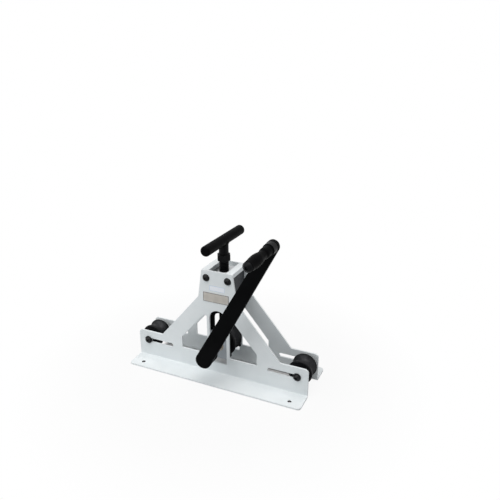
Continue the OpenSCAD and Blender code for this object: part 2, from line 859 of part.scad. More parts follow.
// The turned sleeve that the hand holds
module crank_grip() {
    bore_r = grip_bolt_d / 2 + turn_gap;
    curve_start = grip_start + shoulder_length;
    color(black_paint)
    on_crank() translate([0, 0, arm_length]) rotate([-90, 0, 0]) rotate_extrude() polygon(concat(
        [[bore_r, -grip_end], [bore_r, -grip_start], [shoulder_d / 2, -grip_start]],
        [for (i = [0:sleeve_steps])
            let (t = i / sleeve_steps) [sleeve_d(t) / 2, -curve_start - t * (grip_end - curve_start)]]
    ));
}

// Places its children at a lower axle, on the side that is -1 or 1
module on_axle(side) {
    translate([side * axle_x, 0, axle_z]) children();
}
module axle_bolt(side) {
    color(black_paint)
    on_axle(side)
        dome_bolt(axle_d, axle_head_d, axle_head_h,
            axle_washer_out, axle_washer_out + axle_nut_h + bolt_end);
}
module axle_spacers(side) {
    color(bright_steel)
    on_axle(side) for (face = [0, 1]) mirror([0, face, 0])
        ring_y(axle_spacer_d / 2, axle_d / 2 + seat_gap, -axle_spacer_out, -roller_half - slide_gap);
}
module axle_washers(side) {
    color(black_paint)
    on_axle(side) for (face = [0, 1]) mirror([0, face, 0])
        ring_y(axle_washer_d / 2, axle_d / 2 + seat_gap, -axle_washer_out, -axle_washer_in);
}
module axle_nut(side) {
    color(black_paint)
    on_axle(side)
        hex_y(nut_flats(axle_d), axle_d / 2 + seat_gap, axle_washer_out, axle_washer_out + axle_nut_h);
}
module lower_roller(side) {
    color(black_paint)
    on_axle(side) grooved_roller(lower_rim_r, lower_groove_r, roller_bush_r + seat_gap);
}
module roller_bush(side) {
    color(bronze)
    on_axle(side) ring_y(roller_bush_r, axle_d / 2 + turn_gap, -roller_half, roller_half);
}

front_side_plate();
rear_side_plate();
left_spacer_bar();
right_spacer_bar();
nut_block();
screw_nut();
tower_bolts();
tower_nuts();
yoke();
front_bearing_block();
rear_bearing_block();
front_bush();
rear_bush();
yoke_screws();
thrust_washer();
lead_screw();
t_handle_bar();
screw_stop_nut();
retaining_collar();
collar_pin();
drive_shaft();
centre_roller();
roller_key();
front_shaft_spacer();
rear_shaft_spacer();
rear_shaft_washer();
rear_retaining_ring();
crank_hub();
crank_arm();
hub_set_screw();
grip_bolt();
grip_nut();
grip_ferrule();
crank_grip();
axle_bolt(-1);  // left_axle_bolt
axle_spacers(-1);  // left_axle_spacers
axle_washers(-1);  // left_axle_washers
axle_nut(-1);  // left_axle_nut
lower_roller(-1);  // left_roller
roller_bush(-1);  // left_roller_bush
axle_bolt(1);  // right_axle_bolt
axle_spacers(1);  // right_axle_spacers
axle_washers(1);  // right_axle_washers
axle_nut(1);  // right_axle_nut
lower_roller(1);  // right_roller
roller_bush(1);  // right_roller_bush
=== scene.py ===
import json
import math

import bmesh
import bpy
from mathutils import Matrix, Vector


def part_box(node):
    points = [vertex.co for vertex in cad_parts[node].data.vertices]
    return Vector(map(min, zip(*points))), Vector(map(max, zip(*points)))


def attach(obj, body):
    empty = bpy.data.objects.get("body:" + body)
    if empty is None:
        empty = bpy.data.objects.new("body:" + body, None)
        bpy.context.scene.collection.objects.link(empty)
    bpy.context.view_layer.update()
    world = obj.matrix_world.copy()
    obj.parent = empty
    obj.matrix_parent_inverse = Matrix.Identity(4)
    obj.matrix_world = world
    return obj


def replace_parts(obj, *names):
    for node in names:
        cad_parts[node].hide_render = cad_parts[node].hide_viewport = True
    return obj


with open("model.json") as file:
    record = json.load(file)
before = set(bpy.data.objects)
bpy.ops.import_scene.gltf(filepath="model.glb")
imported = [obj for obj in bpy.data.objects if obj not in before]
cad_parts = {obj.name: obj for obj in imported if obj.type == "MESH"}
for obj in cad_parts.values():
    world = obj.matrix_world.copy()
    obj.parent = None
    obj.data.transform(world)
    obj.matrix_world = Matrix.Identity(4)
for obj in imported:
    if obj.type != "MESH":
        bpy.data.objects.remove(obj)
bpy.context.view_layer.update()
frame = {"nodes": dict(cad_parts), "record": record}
RECORD = frame["record"]
SLOTS = {row["node"]: row["material_slot"] for row in RECORD["subparts"]}
BODIES = {node: body for body, nodes in RECORD["behaviour"]["bodies"].items() for node in nodes}
MM = 0.001
X, Y, Z = Vector((1, 0, 0)), Vector((0, 1, 0)), Vector((0, 0, 1))
ORIGIN = Vector((0, 0, 0))

# Camera, fitted to the photograph
CAMERA_PLACE = (0.6577, -1.2606, 0.9309)
CAMERA_PITCH = math.radians(90 - 21.04)
CAMERA_YAW = math.radians(24.56)
CAMERA_LENS_MM = 38.75
SENSOR_MM = 36.0

# Light: the even fill, and the soft boxes
FILL = 0.26
FILL_COLOUR = (0.87, 0.935, 1.0, 1.0)
LAMPS = {
    "key": {"place": (-1.0, -1.7, 1.9), "size": 2.3, "power": 38.0, "colour": (1.0, 1.0, 1.0)},
    "top": {"place": (0.35, -0.15, 2.4), "size": 2.0, "power": 41.0, "colour": (1.0, 0.955, 0.935)},
}
LAMP_AIM = Vector((0.0, 0.0, 0.15))
WHITE = (1.0, 1.0, 1.0, 1.0)
WHITE_STRENGTH = 1.0

# Floor: one pale tone, and the share of it that shows as plain white near the object. Its own shadow
# shows under the feet and between the plates, up to the open ends (shares of the plates' half length).
# The far limits are where it turns all white.
FLOOR_HALF = 8.0
FLOOR_DROP = 0.2 * MM
FLOOR_TONE = 0.6
FLOOR_ROUGHNESS = 0.9
FLOOR_WHITE = 0.91
FLOOR_UNDER_EDGE = 6 * MM
FLOOR_OPEN = (0.84, 0.90)
FLOOR_FAR = (0.34, 0.62)

# Ranges: from none to all, and where most values of a noise lie
UNIT = (0.0, 1.0)
NOISE_SPAN = (0.3, 0.7)

# Rubbed edges: how well the rounded normal agrees with the true one, from flat to corner, the patches
# that break the edges up, and how much paler rubbed metal is
RUB_SAMPLES = 6
RUB_CORNER = (0.985, 0.86)
RUB_PATCHES = (0.46, 0.62)
RUB_GAIN = 2.1
RUB_LIFT = 0.008
RUB_LIMIT = 0.8

# Colours of the paints; the black ones are shares of their tone
PAINT_TONES = ((0.720, 0.765, 0.775), (0.775, 0.815, 0.825))
PAINT_DUST = (0.52, 0.53, 0.53)
PAINT_RUBBED = (0.50, 0.51, 0.52)
BLACK_SHARES = ((0.75, 0.8, 0.9), (1.5, 1.6, 1.75))
BLACK_RUBBED = (0.030, 0.031, 0.033)
BLACKS = {
    "black_paint": {"tone": 0.0018, "specular": 0.022, "grain": 750.0, "relief": 0.25},
    "grip_black": {"tone": 0.0015, "specular": 0.012, "grain": 1300.0, "relief": 0.4},
}

# Rollers: colours, the turning marks, and how far in from the rim and the sides the groove begins
ROLLER_TONES = ((0.0035, 0.0038, 0.0045), (0.009, 0.0095, 0.011))
ROLLER_GROOVE = (0.030, 0.031, 0.034)
ROLLER_WORN = (0.065, 0.067, 0.07)
ROLLER_MARKS = 2600.0
GROOVE_FROM_RIM = (2.5 * MM, 0.8 * MM)
GROOVE_FROM_SIDE = (6.5 * MM, 5 * MM)

# Bare, cast and blackened metals; grain gives the scales of the mottling and of the relief
METALS = {
    "grey_iron": {"tones": ((0.28, 0.31, 0.335), (0.36, 0.39, 0.415)), "sheen": (0.42, 0.58),
                  "metallic": 0.1},
    "dark_steel": {"tones": ((0.020, 0.023, 0.027), (0.037, 0.041, 0.046)), "sheen": (0.40, 0.60),
                   "metallic": 0.3, "specular": 0.18},
    "bright_steel": {"tones": ((0.42, 0.43, 0.45), (0.55, 0.56, 0.58)), "sheen": (0.26, 0.40),
                     "metallic": 1.0, "grain": (60.0, 900.0), "relief": 0.06},
    "screw_steel": {"tones": ((0.0022, 0.0024, 0.0028), (0.005, 0.0054, 0.006)), "sheen": (0.32, 0.48),
                    "metallic": 0.2, "grain": (80.0, 900.0), "relief": 0.06, "specular": 0.08},
    "black_oxide": {"tones": ((0.004, 0.0044, 0.005), (0.009, 0.0096, 0.0105)), "sheen": (0.28, 0.42),
                    "metallic": 0.3, "grain": (90.0, 800.0), "relief": 0.06, "specular": 0.22},
    "bronze": {"tones": ((0.30, 0.26, 0.205), (0.40, 0.355, 0.29)), "sheen": (0.38, 0.54),
               "metallic": 0.5, "grain": (50.0, 700.0), "relief": 0.06},
}

# Brushed sheets: colours of the field, its stains and the brushing's shine, and the brushing's scales
SHEETS = {
    "plate_field": {"tones": ((0.44, 0.415, 0.375), (0.53, 0.50, 0.455)), "shine": (0.60, 0.575, 0.53),
                    "metallic": 0.2},
    "plate_edge": {"tones": ((0.13, 0.125, 0.115), (0.19, 0.18, 0.17)), "shine": (0.25, 0.24, 0.225),
                   "metallic": 0.2},
    "sticker_field": {"tones": ((0.80, 0.84, 0.90), (0.84, 0.875, 0.92)), "shine": (0.86, 0.89, 0.93),
                      "metallic": 0.0},
    "sticker_edge": {"tones": ((0.42, 0.56, 0.74), (0.48, 0.61, 0.78)), "shine": (0.52, 0.64, 0.80),
                     "metallic": 0.0},
}
BRUSHING = (30.0, 900.0, 900.0)

# The tops that were milled with the nut in place, bright partly as milled steel and partly as painted
# light from above, and the X where their bright part begins; left of it they get painted shade
MILLED_LIT_TOPS = ("nut_block", "screw_nut")
MILLED_SHADE_ENDS = (-20 * MM, -12 * MM)
SHADE_EDGE_RAGGED = (-4 * MM, 4 * MM)
# Bright tones: milled steel lifted by painted light; the next colour is the painted shade left of the
# screw
MILLED_LIT_TONES = ((0.62, 0.64, 0.65), (0.74, 0.755, 0.765))
MILLED_PAINTED_SHADE = (0.045, 0.048, 0.053)
UPWARD = 0.9

# The blackest of the blackened pieces look like the screw
FINISHES = SLOTS | {node: "screw_steel" for node in ("screw_stop_nut", "grip_bolt", "grip_ferrule")}

# The side plates' anchor holes, whose walls get a darker finish than the paint round them: a face counts
# as wall if it is steep
SIDE_PLATES = ("front_side_plate", "rear_side_plate")
ANCHORS = next(m["dims"] for m in RECORD["mounts"] if m["name"] == "anchor_holes")
ANCHOR_X = ANCHORS["spacing_x_mm"] / 2 * MM
ANCHOR_Y = ANCHORS["spacing_y_mm"] / 2 * MM
ANCHOR_R = ANCHORS["hole_r_mm"] * MM
ANCHOR_FINISH = "dark_steel"
STEEP = 0.1

# How the parts' meshes are cleaned and their edges eased
WELD = 0.002 * MM
FLAT_ANGLE = math.radians(0.4)
SHARP_ANGLE = math.radians(32)
EDGE_SEGMENTS = 3
EDGE_EASE = {"front_side_plate": 1.1 * MM, "rear_side_plate": 1.1 * MM, "crank_arm": 1.3 * MM,
             "crank_hub": 1.0 * MM, "yoke": 0.8 * MM}
EDGE_EASE_OTHERS = 0.5 * MM

# Turned pieces: points round them
SIDES = 48
ANGLES = [2 * math.pi * i / SIDES for i in range(SIDES)]

# Threads: along one turn, where the crest and the root start and end, with 1 at the crest
SCREW_TURN = ((0.0, 0.0), (0.13, 1.0), (0.50, 1.0), (0.63, 0.0))
SCREW_PITCH = 5.0 * MM
SCREW_DEPTH = 2.6 * MM
BOLT_TURN = ((0.0, 0.0), (0.375, 1.0), (0.5, 1.0), (0.875, 0.0))
BOLT_PITCH = 1.75 * MM
BOLT_DEPTH = 1.0 * MM

# Bolts and nuts; the socket's size is a share of the head, and its rim and ease are shares of the socket
BOLT_R = 6 * MM
BOLT_TAIL = 14 * MM
BOLT_CHAMFER = 1.0 * MM
HEAD_STEPS = 8
SOCKET_SHARE = 0.36
SOCKET_RIM = 1.25
SOCKET_EASE = 1.05
SOCKET_DEPTH = 4.2 * MM
NUT_FLATS = 19 * MM
NUT_FACE = 0.94
NUT_SLOPE = math.tan(math.radians(30))
COUNTERSINK = 0.7 * MM
SOCKET_DROP = COUNTERSINK / 3
SEAT_GAP = 0.02 * MM
RUN_GAP = 0.3 * MM
SET_SCREW_SOCKET = 4 * MM
TOWER_WASHER = 2.5 * MM
WASHER_EASE = 1 / 5
NECK_R = 8 * MM
SHOULDER_CHAMFER = 2 * MM
SHANK_SINK = SHOULDER_CHAMFER / 2

# Weld beads
BEAD_SIDES = 10
BEAD_RIPPLE = 2.4 * MM
BEAD_RIPPLE_SHARE = 0.10
BEAD_RIPPLE_STEPS = 4
HANDLE_BEAD_R = 2.1 * MM
HUB_BEAD_R = 1.1 * MM
BAR_BEAD_R = 1.8 * MM

# The bare plate on the tower and the blank sticker above it; the outer edge's ease is a share of the
# thickness
PLATE = {"x": (-45 * MM, 37 * MM), "z": (238 * MM, 267 * MM), "thick": 0.8 * MM, "corner": 1.5 * MM,
         "border": 1.5 * MM, "sink": 0.25 * MM}
STICKER = {"x": (-24 * MM, 24 * MM), "z": (274 * MM, 290 * MM), "thick": 0.15 * MM, "corner": 1.0 * MM,
           "border": 0.9 * MM, "sink": 0.0}
PANEL_EASE = 1 / 3
CORNER_STEPS = 6
RIVET_R = 1.5 * MM
RIVET_RISE = 0.9 * MM
RIVET_INSET = 4.2 * MM


def middle(node):
    """The middle of a node's box."""
    low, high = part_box(node)
    return (low + high) / 2


# The crank's own directions, along its arm and across it
ARM = middle("grip_ferrule") - middle("crank_hub")
ARM = Vector((ARM.x, 0.0, ARM.z)).normalized()
ACROSS = Vector((ARM.z, 0.0, -ARM.x))

# The handle bar's middle and radius, and the level direction square to it, found from the bar's back
# end, which begins at a share of its reach
HANDLE = middle("t_handle_bar")
HANDLE_R = (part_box("t_handle_bar")[1].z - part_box("t_handle_bar")[0].z) / 2
HANDLE_END_SHARE = 0.9
HANDLE_END = HANDLE_END_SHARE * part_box("t_handle_bar")[1].y
HANDLE_BACK = [v.co for v in frame["nodes"]["t_handle_bar"].data.vertices if v.co.y > HANDLE_END]
HANDLE_ALONG = sum(HANDLE_BACK, Vector()) / len(HANDLE_BACK) - HANDLE
HANDLE_SIDE = Vector((HANDLE_ALONG.y, -HANDLE_ALONG.x, 0.0)).normalized()

# The side plates' outer face, where the tower's nuts sit
PLATE_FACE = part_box("tower_nuts")[0].y


def add(tree, kind, inputs=(), **settings):
    """A shader node with its settings, and its inputs set or linked by name."""
    made = tree.nodes.new(kind)
    for key, value in settings.items():
        setattr(made, key, value)
    for key, value in dict(inputs).items():
        if isinstance(value, bpy.types.NodeSocket):
            tree.links.new(value, made.inputs[key])
        else:
            made.inputs[key].default_value = value
    return made


def noise(tree, coords, scale, detail=3.0, rough=0.55):
    """A noise texture's value; the scale is per metre."""
    inputs = {"Vector": coords, "Scale": scale, "Detail": detail, "Roughness": rough}
    return add(tree, "ShaderNodeTexNoise", inputs).outputs["Fac"]


def spread(tree, value, span, reach):
    """The value mapped from one range to another, held at both ends."""
    inputs = {"Value": value, "From Min": span[0], "From Max": span[1]}
    inputs |= {"To Min": reach[0], "To Max": reach[1]}
    return add(tree, "ShaderNodeMapRange", inputs).outputs["Result"]


def vary(tree, coords, scale, reach=UNIT, span=NOISE_SPAN, detail=3.0, rough=0.55):
    """A noise that varies over a range."""
    return spread(tree, noise(tree, coords, scale, detail, rough), span, reach)


def combine(tree, operation, a, b=0.0):
    """One step of arithmetic on two values."""
    return add(tree, "ShaderNodeMath", {0: a, 1: b}, operation=operation).outputs["Value"]


def blend(tree, share, a, b):
    """A colour between a and b."""
    made = add(tree, "ShaderNodeMix", data_type="RGBA")
    tree.links.new(share, made.inputs[0])
    for socket, value in ((made.inputs[6], a), (made.inputs[7], b)):
        if isinstance(value, bpy.types.NodeSocket):
            tree.links.new(value, socket)
        else:
            socket.default_value = (*value, 1.0)
    return made.outputs[2]


def bump(tree, height, strength, distance):
    """A normal that is tilted by a height."""
    inputs = {"Height": height, "Strength": strength, "Distance": distance}
    return add(tree, "ShaderNodeBump", inputs).outputs["Normal"]


def edge_mask(tree, coords, radius, grain, most):
    """How much edges are rubbed: corners within the radius, broken up by noise."""
    soft = add(tree, "ShaderNodeBevel", {"Radius": radius}, samples=RUB_SAMPLES).outputs["Normal"]
    true = add(tree, "ShaderNodeNewGeometry").outputs["Normal"]
    same = add(tree, "ShaderNodeVectorMath", {0: soft, 1: true}, operation="DOT_PRODUCT")
    corner = spread(tree, same.outputs["Value"], RUB_CORNER, UNIT)
    patches = vary(tree, coords, grain, span=RUB_PATCHES)
    return spread(tree, combine(tree, "MULTIPLY", corner, patches), UNIT, (0.0, most))


def new_material(name):
    """A material, its node tree, its shader and coordinates that stay with the piece."""
    made = bpy.data.materials.new(name)
    made.use_nodes = True
    tree = made.node_tree
    shader = tree.nodes["Principled BSDF"]
    coords = add(tree, "ShaderNodeTexCoord").outputs["Object"]
    return made, tree, shader, coords


def dress(tree, shader, colour, roughness, normal, **constants):
    """Links the three varying inputs and sets the rest on the shader's own sockets."""
    tree.links.new(colour, shader.inputs["Base Color"])
    tree.links.new(roughness, shader.inputs["Roughness"])
    tree.links.new(normal, shader.inputs["Normal"])
    for key, value in constants.items():
        shader.inputs[key.replace("_", " ")].default_value = value


def white_paint(name):
    """Off-white powder coat: a faint cloud in the colour, orange peel, and small rubs on edges."""
    made, tree, shader, coords = new_material(name)
    coat = blend(tree, vary(tree, coords, scale=14.0), *PAINT_TONES)
    dust = vary(tree, coords, scale=75.0, reach=(0.0, 0.16), span=(0.60, 0.80), detail=6.0, rough=0.7)
    dusty = blend(tree, dust, coat, PAINT_DUST)
    rubbed = edge_mask(tree, coords, radius=1.2 * MM, grain=160.0, most=0.35)
    colour = blend(tree, rubbed, dusty, PAINT_RUBBED)
    roughness = vary(tree, coords, scale=55.0, reach=(0.36, 0.50))
    peel = bump(tree, noise(tree, coords, scale=620.0, detail=2.0), strength=0.12, distance=0.4 * MM)
    dress(tree, shader, colour, roughness, peel, Specular_IOR_Level=0.35)
    return made


def black_paint(name, tone, specular, grain, relief):
    """Satin black with a fine grain, a little paler where hands and edges rub it."""
    made, tree, shader, coords = new_material(name)
    dark, light = (tuple(share * tone for share in shares) for shares in BLACK_SHARES)
    coat = blend(tree, vary(tree, coords, scale=24.0, detail=5.0), dark, light)
    rubbed = edge_mask(tree, coords, radius=1.6 * MM, grain=120.0, most=0.5)
    colour = blend(tree, rubbed, coat, BLACK_RUBBED)
    roughness = vary(tree, coords, scale=60.0, reach=(0.36, 0.52), detail=4.0)
    normal = bump(tree, noise(tree, coords, grain), relief, distance=0.3 * MM)
    dress(tree, shader, colour, roughness, normal, Specular_IOR_Level=specular)
    return made


def roller_black(node):
    """Blackened turned steel with fine turning marks, and a groove rubbed by use."""
    low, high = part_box(node)
    rim = (high.x - low.x) / 2
    half = (high.y - low.y) / 2
    made, tree, shader, coords = new_material("roller_black_" + node)
    moved = add(tree, "ShaderNodeVectorMath", {0: coords, 1: (low + high) / 2}, operation="SUBTRACT")
    parts = add(tree, "ShaderNodeSeparateXYZ", {0: moved.outputs["Vector"]})
    flat = add(tree, "ShaderNodeCombineXYZ", {"X": parts.outputs["X"], "Z": parts.outputs["Z"]})
    radius = add(tree, "ShaderNodeVectorMath", {0: flat.outputs[0]}, operation="LENGTH").outputs["Value"]
    offset = combine(tree, "ABSOLUTE", parts.outputs["Y"])
    path = combine(tree, "ADD", radius, parts.outputs["Y"])
    rings = add(tree, "ShaderNodeTexNoise", {"W": path, "Scale": ROLLER_MARKS, "Detail": 4.0},
                noise_dimensions="1D").outputs["Fac"]
    below_rim = spread(tree, radius, [rim - inset for inset in GROOVE_FROM_RIM], (1.0, 0.0))
    inside = spread(tree, offset, [half - inset for inset in GROOVE_FROM_SIDE], (1.0, 0.0))
    groove = combine(tree, "MULTIPLY", below_rim, inside)
    patches = vary(tree, coords, scale=90.0, reach=(0.35, 1.0), detail=5.0)
    streak = blend(tree, rings, *ROLLER_TONES)
    colour = blend(tree, combine(tree, "MULTIPLY", groove, patches), streak, ROLLER_GROOVE)
    worn = edge_mask(tree, coords, radius=1.4 * MM, grain=140.0, most=0.6)
    colour = blend(tree, worn, colour, ROLLER_WORN)
    roughness = spread(tree, rings, NOISE_SPAN, (0.34, 0.50))
    normal = bump(tree, rings, strength=0.16, distance=0.2 * MM)
    dress(tree, shader, colour, roughness, normal, Metallic=0.3, Specular_IOR_Level=0.15)
    return made


def worked_metal(name, tones, sheen, metallic, grain=(40.0, 420.0), relief=0.12, specular=0.5):
    """A bare, cast or blackened metal: two scales of mottling, and bright rubs on its edges."""
    made, tree, shader, coords = new_material(name)
    broad = vary(tree, coords, grain[0], span=(0.32, 0.68), detail=5.0, rough=0.6)
    colour = blend(tree, broad, *tones)
    rubbed = edge_mask(tree, coords, radius=0.9 * MM, grain=200.0, most=0.45)
    bare = tuple(min(RUB_LIMIT, RUB_GAIN * v + RUB_LIFT) for v in tones[1])
    colour = blend(tree, rubbed, colour, bare)
    roughness = vary(tree, coords, scale=2.5 * grain[0], reach=sheen, detail=4.0)
    normal = bump(tree, noise(tree, coords, grain[1]), relief, distance=0.25 * MM)
    dress(tree, shader, colour, roughness, normal, Metallic=metallic, Specular_IOR_Level=specular)
    return made


def milled_face_painted_light(name):
    """A milled top with painted light: bright on its right, partly milled steel and partly painted light,
    and painted shade left of the screw.
    """
    made, tree, shader, coords = new_material(name)
    along = add(tree, "ShaderNodeSeparateXYZ", {0: coords}).outputs["X"]
    broad = noise(tree, coords, scale=70.0, detail=5.0, rough=0.6)
    ragged = combine(tree, "ADD", along, spread(tree, broad, NOISE_SPAN, SHADE_EDGE_RAGGED))
    # Painted shade left of this ragged edge, painted light to its right
    unshaded = spread(tree, ragged, MILLED_SHADE_ENDS, UNIT)
    colour = blend(tree, unshaded, MILLED_PAINTED_SHADE, blend(tree, broad, *MILLED_LIT_TONES))
    roughness = spread(tree, broad, NOISE_SPAN, (0.38, 0.52))
    normal = bump(tree, noise(tree, coords, scale=900.0), strength=0.12, distance=0.2 * MM)
    dress(tree, shader, colour, roughness, normal, Metallic=0.1)
    return made


def brushed_sheet(name, tones, shine, metallic):
    """Thin sheet with a fine brushing along X and a few stains."""
    made, tree, shader, coords = new_material(name)
    stretched = add(tree, "ShaderNodeMapping", {"Vector": coords, "Scale": BRUSHING})
    brushing = noise(tree, stretched.outputs["Vector"], scale=1.0, detail=4.0)
    field = blend(tree, vary(tree, coords, scale=55.0, span=(0.35, 0.7), detail=5.0), *tones)
    colour = blend(tree, spread(tree, brushing, NOISE_SPAN, (0.0, 0.3)), field, shine)
    roughness = spread(tree, brushing, NOISE_SPAN, (0.36, 0.52))
    normal = bump(tree, brushing, strength=0.1, distance=0.1 * MM)
    dress(tree, shader, colour, roughness, normal, Metallic=metallic)
    return made


# The milled face's material carries painted light and painted shade
MATERIALS = {"white_paint": white_paint("white_paint"), "milled_face_painted_light": milled_face_painted_light("milled_face_painted_light")}
MATERIALS |= {name: black_paint(name, **settings) for name, settings in BLACKS.items()}
MATERIALS |= {name: worked_metal(name, **settings) for name, settings in METALS.items()}
MATERIALS |= {name: brushed_sheet(name, **settings) for name, settings in SHEETS.items()}


def shade(mesh):
    """Smooth shading with creases at sharp edges."""
    mesh.polygons.foreach_set("use_smooth", [True] * len(mesh.polygons))
    mesh.set_sharp_from_angle(angle=SHARP_ANGLE)


def piece_from(work, name, body, slot, *materials):
    """A shown piece from a working mesh, in the given materials: it rides on the body; the slot is not
    used.
    """
    bmesh.ops.recalc_face_normals(work, faces=work.faces)
    mesh = bpy.data.meshes.new(name)
    work.to_mesh(mesh)
    work.free()
    for material in materials:
        mesh.materials.append(material)
    shade(mesh)
    piece = bpy.data.objects.new(name, mesh)
    bpy.context.scene.collection.objects.link(piece)
    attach(piece, body)
    return piece


def stand_in(work, node):
    """A piece that shows a node in more detail."""
    piece = piece_from(work, node + "_finish", BODIES[node], SLOTS[node], MATERIALS[FINISHES[node]])
    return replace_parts(piece, node)


def ease_edges(piece, width):
    """Rounds the piece's sharp edges and keeps its flat faces flat."""
    bevel = piece.modifiers.new("eased_edges", "BEVEL")
    bevel.width = width
    bevel.segments = EDGE_SEGMENTS
    bevel.limit_method = "ANGLE"
    bevel.angle_limit = SHARP_ANGLE
    bevel.use_clamp_overlap = True
    flats = piece.modifiers.new("flat_faces", "WEIGHTED_NORMAL")
    flats.keep_sharp = True


def is_lit_milled_top(face):
    """Whether a face of a milled piece looks up, and so gets painted light."""
    return face.normal.z > UPWARD


def is_anchor_wall(face):
    """Whether a face of a side plate lies in an anchor hole."""
    place = face.calc_center_median()
    away = Vector((abs(place.x) - ANCHOR_X, abs(place.y) - ANCHOR_Y))
    return abs(face.normal.z) < STEEP and away.length < ANCHOR_R + WELD


def finished(node):
    """The node's own shape with eased edges, in its finish, with a second one on some faces."""
    slot = SLOTS[node]
    work = bmesh.new()
    work.from_mesh(frame["nodes"][node].data)
    bmesh.ops.remove_doubles(work, verts=work.verts, dist=WELD)
    bmesh.ops.dissolve_limit(work, angle_limit=FLAT_ANGLE, verts=work.verts, edges=work.edges)
    materials = [roller_black(node) if slot == "roller_black" else MATERIALS[FINISHES[node]]]
    is_other = None
    # Milled tops: upward faces get painted light, with painted shade left of the screw; the sides keep
    # their own finish
    if node in MILLED_LIT_TOPS:
        materials.append(MATERIALS["milled_face_painted_light"])
        is_other = is_lit_milled_top
    elif node in SIDE_PLATES:
        materials.append(MATERIALS[ANCHOR_FINISH])
        is_other = is_anchor_wall
    if is_other:
        for face in work.faces:
            face.material_index = 1 if is_other(face) else 0
    piece = piece_from(work, node + "_finish", BODIES[node], slot, *materials)
    ease_edges(piece, EDGE_EASE.get(node, EDGE_EASE_OTHERS))
    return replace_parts(piece, node)


def spindle(place, axis, start):
    """Gives points about an axis by angle, radius and distance along; angle 0 is towards start."""
    other = axis.cross(start)

    def at(angle, radius, along):
        return place + axis * along + (start * math.cos(angle) + other * math.sin(angle)) * radius

    return at


def ring(work, at, radius, along):
    """A loop of points; the radius and the distance along are numbers, or depend on the angle."""
    loop = []
    for angle in ANGLES:
        r = radius(angle) if callable(radius) else radius
        a = along(angle) if callable(along) else along
        loop.append(work.verts.new(at(angle, r, a)))
    return loop


def skin(work, loops, closed=False):
    """Faces between loops of points in turn, and from the last to the first if it is closed."""
    pairs = list(zip(loops, loops[1:]))
    if closed:
        pairs.append((loops[-1], loops[0]))
    made = []
    for low, high in pairs:
        for i in range(len(low)):
            j = (i + 1) % len(low)
            made.append(work.faces.new((low[i], low[j], high[j], high[i])))
    return made


def cap(work, loops):
    """Flat faces over the first and the last loop of points."""
    work.faces.new(loops[0])
    work.faces.new(loops[-1])


def thread(work, at, turn, pitch, depth, crest, start, end):
    """A helical thread that runs out at both ends; gives its first and last loops of points."""
    steps = len(turn)
    rows = (math.ceil((end - start) / pitch) + 2) * steps
    first = ring(work, at, crest - depth, start)
    last = ring(work, at, crest, end)
    columns = []
    for i, angle in enumerate(ANGLES):
        column = []
        for row in range(rows):
            share, height = turn[row % steps]
            along = start + (row // steps - 1 + share + i / SIDES) * pitch
            if along <= start:
                column.append(first[i])
            elif along >= end:
                column.append(last[i])
            else:
                column.append(work.verts.new(at(angle, crest - depth * (1 - height), along)))
        columns.append(column)
    columns.append(columns[0][steps:] + [last[0]] * steps)
    for left, right in zip(columns, columns[1:]):
        for row in range(rows - 1):
            corners = dict.fromkeys((left[row], right[row], right[row + 1], left[row + 1]))
            if len(corners) > 2:
                work.faces.new(list(corners))
    return first, last


def hexagon(flats):
    """A hexagon's radius at an angle, with a flat in the middle at angle 0."""
    step = math.pi / 3
    return lambda angle: flats / 2 / math.cos((angle + step / 2) % step - step / 2)


def add_nut(work, at, flats, bore, start, end):
    """A hexagon nut with chamfered corners and a countersunk bore."""
    outline = hexagon(flats)
    face = NUT_FACE * flats / 2

    def rise(angle):
        return (outline(angle) - face) * NUT_SLOPE

    rings = [(bore, start + COUNTERSINK), (bore + COUNTERSINK, start), (face, start),
             (outline, lambda angle: start + rise(angle)), (outline, lambda angle: end - rise(angle)),
             (face, end), (bore + COUNTERSINK, end), (bore, end - COUNTERSINK)]
    skin(work, [ring(work, at, radius, along) for radius, along in rings], closed=True)


def add_washer(work, at, outer, bore, start, end):
    """A washer with eased rims."""
    ease = (end - start) * WASHER_EASE
    rings = [(bore, start), (outer - ease, start), (outer, start + ease), (outer, end - ease),
             (outer - ease, end), (bore, end)]
    skin(work, [ring(work, at, radius, along) for radius, along in rings], closed=True)


def add_bolt(work, at, head_r, top, seat, end):
    """A dome-headed bolt with a hexagon socket, a plain shank and a threaded tail."""
    rise = seat - top
    dome_r = (head_r ** 2 + rise ** 2) / (2 * rise)
    socket = hexagon(2 * SOCKET_SHARE * head_r)
    rim = SOCKET_RIM * SOCKET_SHARE * head_r

    def dome(radius):
        return top + dome_r - math.sqrt(dome_r ** 2 - radius ** 2)

    def eased(angle):
        return socket(angle) * SOCKET_EASE

    def from_tip(angle, radius, along):
        return at(-angle, radius, end - along)

    loops = [ring(work, at, socket, top + SOCKET_DEPTH),
             ring(work, at, socket, lambda angle: dome(socket(angle)) + SOCKET_DROP),
             ring(work, at, eased, lambda angle: dome(eased(angle)))]
    for step in range(HEAD_STEPS + 1):
        radius = rim + (head_r - rim) * step / HEAD_STEPS
        loops.append(ring(work, at, radius, dome(radius)))
    loops.append(ring(work, at, BOLT_R, seat))
    first, last = thread(work, from_tip, BOLT_TURN, BOLT_PITCH, BOLT_DEPTH, BOLT_R,
                         BOLT_CHAMFER, BOLT_TAIL)
    tip = ring(work, from_tip, BOLT_R - BOLT_DEPTH - BOLT_CHAMFER, 0.0)
    # The thread's loops run the other way round than the head's
    skin(work, loops + [last[:1] + last[:0:-1]])
    skin(work, [first, tip])
    cap(work, [loops[0], tip])


